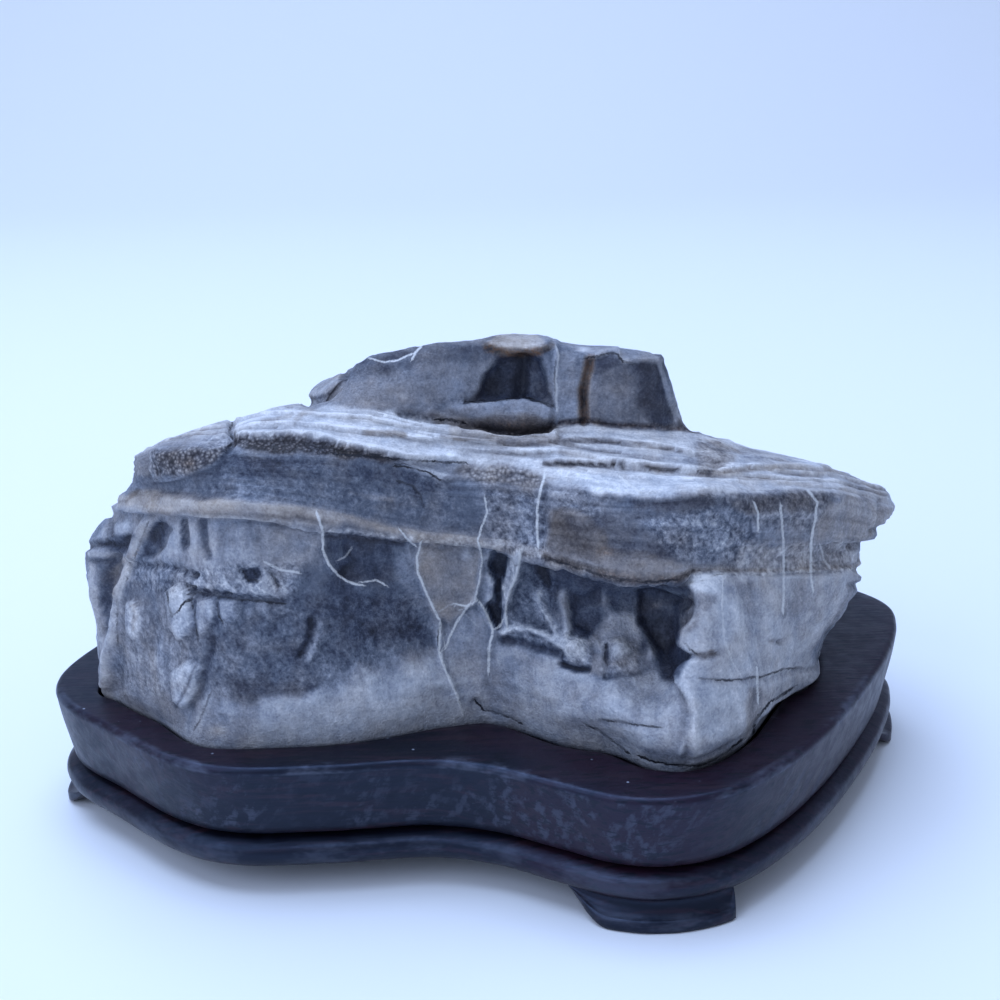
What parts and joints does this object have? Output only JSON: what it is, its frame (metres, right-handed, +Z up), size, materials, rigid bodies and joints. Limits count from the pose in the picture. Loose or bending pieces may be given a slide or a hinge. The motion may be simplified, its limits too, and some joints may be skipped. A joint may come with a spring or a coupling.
{
  "type": "scholars rock on a carved wooden stand",
  "caption": "Low layered natural stone, flat-topped like a small mesa, resting in the sunk seat of a wavy-edged carved dark hardwood stand on bracket feet.",
  "frame": {"origin": "on the table, under the middle of the stand's bounding box", "axes": "+X to the viewer's right, along the stone's length; +Y away from the viewer; +Z up"},
  "size_m": [0.1308, 0.1202, 0.0714],
  "materials": {
    "layered_stone": "satin",
    "dark_hardwood": "satin"
  },
  "bodies": {
    "root": {"stone": "layered_stone", "stand": "dark_hardwood"}
  },
  "joints": []
}
